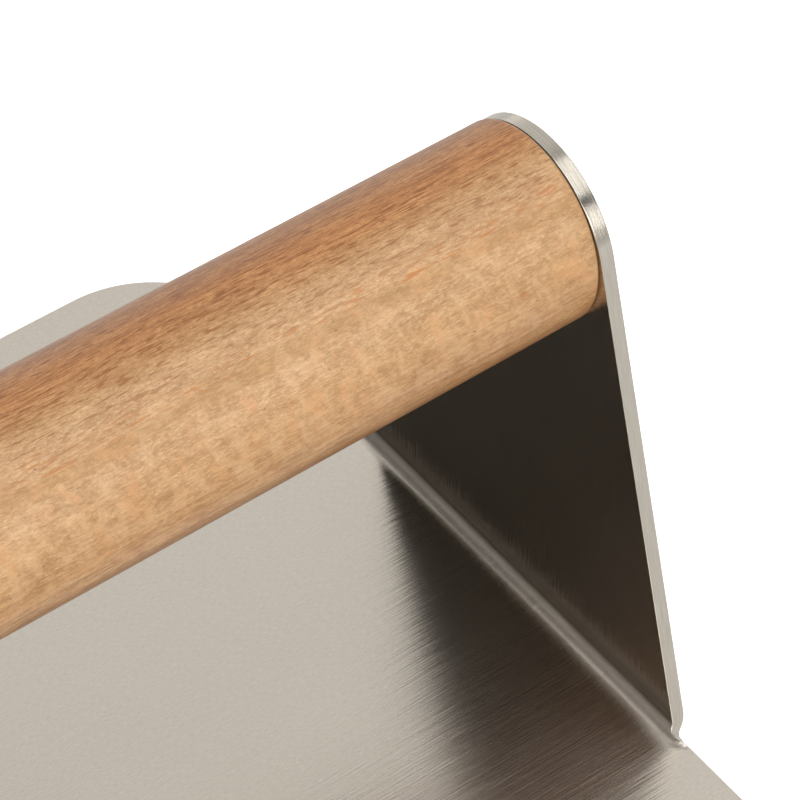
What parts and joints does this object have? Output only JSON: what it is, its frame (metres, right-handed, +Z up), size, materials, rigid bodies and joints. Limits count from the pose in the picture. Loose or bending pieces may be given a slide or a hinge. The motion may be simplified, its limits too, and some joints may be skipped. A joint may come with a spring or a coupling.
{
  "type": "bench scraper",
  "caption": "Flat steel bench scraper with rounded corners, upright ears bent up from its sides and a round wooden grip screwed between them.",
  "frame": {"origin": "centre of the plate's underside, where it rests on the bench", "axes": "+X along the grip, +Y from the front edge to the back edge, +Z up from the plate to the grip"},
  "size_m": [0.1738, 0.159, 0.0835],
  "materials": {
    "brushed_stainless": "fine brushed, lines along the grip, edges lightly deburred",
    "beech": "satin lacquer over fine open pores",
    "insert_brass": "machined",
    "bright_steel": "bright machined"
  },
  "bodies": {
    "root": {"blade_plate": "brushed_stainless", "wood_handle": "beech", "insert_left": "insert_brass", "insert_right": "insert_brass", "washer_left": "bright_steel", "washer_right": "bright_steel", "screw_left": "bright_steel", "screw_right": "bright_steel"}
  },
  "joints": []
}
